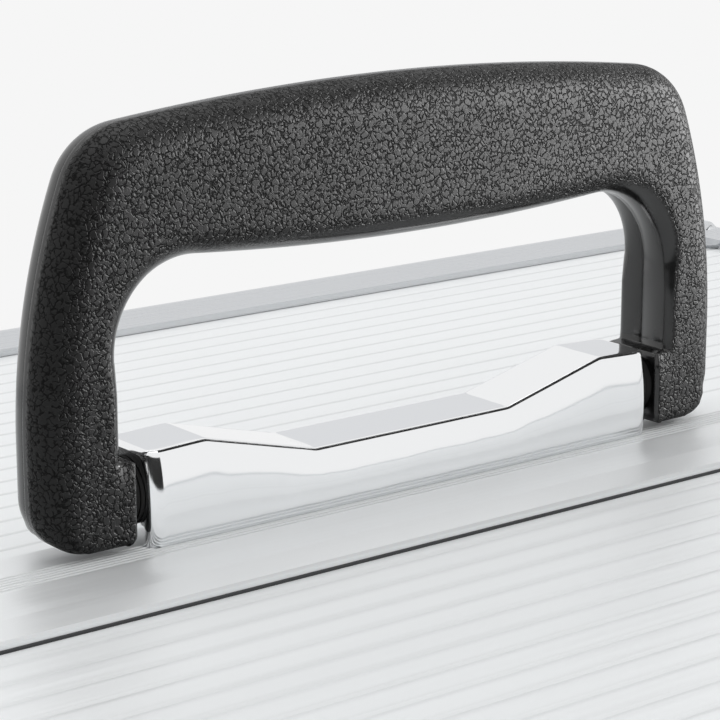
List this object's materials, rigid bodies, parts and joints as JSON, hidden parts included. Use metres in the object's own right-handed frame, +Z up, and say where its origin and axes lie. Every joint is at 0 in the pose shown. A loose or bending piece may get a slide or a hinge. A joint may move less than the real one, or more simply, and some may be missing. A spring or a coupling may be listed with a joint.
{
  "type": "art supply box",
  "caption": "Ribbed aluminium case with edge extrusions, corner guards, a hinged lid with draw latches, and a black arch handle folding on a chrome base.",
  "frame": {"origin": "centre of the underside of the whole object, on the surface that the feet stand on", "axes": "+X along the length to the right, +Y to the back where the lid is hinged, +Z up"},
  "size_m": [0.3978, 0.3014, 0.2656],
  "materials": {
    "ribbed_panel": "fine ribbed, satin",
    "base_board": "moulded, fine texture",
    "edge_extrusion": "brushed and anodised",
    "corner_guard": "pressed, satin nickel",
    "chrome": "polished",
    "latch_plate": "bright plated",
    "hinge_steel": "zinc plated",
    "pin_steel": "turned",
    "handle_plastic": "moulded leather grain",
    "foot_rubber": "moulded",
    "lining": "short-napped velour on board"
  },
  "bodies": {
    "case_body": {"body_corner_posts": "edge_extrusion", "body_front_panel": "ribbed_panel", "body_guards": "corner_guard", "body_left_panel": "ribbed_panel", "body_rear_panel": "ribbed_panel", "body_right_panel": "ribbed_panel", "body_rim": "edge_extrusion", "body_wall_liners": "lining", "bottom_edge_front": "edge_extrusion", "bottom_edge_left": "edge_extrusion", "bottom_edge_rear": "edge_extrusion", "bottom_edge_right": "edge_extrusion", "bottom_liner": "lining", "bottom_panel": "base_board", "cross_divider_left": "lining", "cross_divider_right": "lining", "feet": "foot_rubber", "hinge_body_leaves": "hinge_steel", "hinge_pins": "pin_steel", "latch_bases": "latch_plate", "long_divider": "lining"},
    "lid": {"backing_plate": "hinge_steel", "front_deck_panel": "ribbed_panel", "handle_base": "chrome", "hinge_lid_leaves": "hinge_steel", "latch_catches": "latch_plate", "lid_corner_posts": "edge_extrusion", "lid_edge_front": "edge_extrusion", "lid_edge_left": "edge_extrusion", "lid_edge_rear": "edge_extrusion", "lid_edge_right": "edge_extrusion", "lid_front_panel": "ribbed_panel", "lid_guards": "corner_guard", "lid_left_panel": "ribbed_panel", "lid_liner": "lining", "lid_rear_panel": "ribbed_panel", "lid_right_panel": "ribbed_panel", "lid_rim": "edge_extrusion", "pivot_washers": "pin_steel", "rear_deck_panel": "ribbed_panel", "spine_rail": "edge_extrusion"},
    "handle": {"handle_front_shell": "handle_plastic", "handle_rear_shell": "handle_plastic", "pivot_pins": "pin_steel"},
    "latch_lever_left": {"latch_lever_left": "latch_plate"},
    "latch_claw_left": {"latch_claw_left": "latch_plate"},
    "latch_lever_right": {"latch_lever_right": "latch_plate"},
    "latch_claw_right": {"latch_claw_right": "latch_plate"}
  },
  "joints": [
    {"name": "lid_hinge", "type": "hinge", "parent": "case_body", "child": "lid", "pos_m": [0, 0.14753, 0.1403], "axis": [-1, 0, 0], "range_deg": [0, 100]},
    {"name": "handle_fold", "type": "hinge", "parent": "lid", "child": "handle", "pos_m": [0, 0.01183, 0.2082], "axis": [1, 0, 0], "range_deg": [-88, 0]},
    {"name": "lever_left", "type": "hinge", "parent": "case_body", "child": "latch_lever_left", "pos_m": [-0.125, -0.12567, 0.123], "axis": [-1, 0, 0], "range_deg": [-40, 70]},
    {"name": "claw_left", "type": "hinge", "parent": "latch_lever_left", "child": "latch_claw_left", "pos_m": [-0.125, -0.1316, 0.12014], "axis": [-1, 0, 0], "range_deg": [-70, 40]},
    {"name": "lever_right", "type": "hinge", "parent": "case_body", "child": "latch_lever_right", "pos_m": [0.125, -0.12567, 0.123], "axis": [-1, 0, 0], "range_deg": [-40, 70]},
    {"name": "claw_right", "type": "hinge", "parent": "latch_lever_right", "child": "latch_claw_right", "pos_m": [0.125, -0.1316, 0.12014], "axis": [-1, 0, 0], "range_deg": [-70, 40]}
  ],
  "couplings": [
    {"joint": "claw_left", "follows": "lever_left", "ratio": -1},
    {"joint": "claw_right", "follows": "lever_right", "ratio": -1}
  ]
}
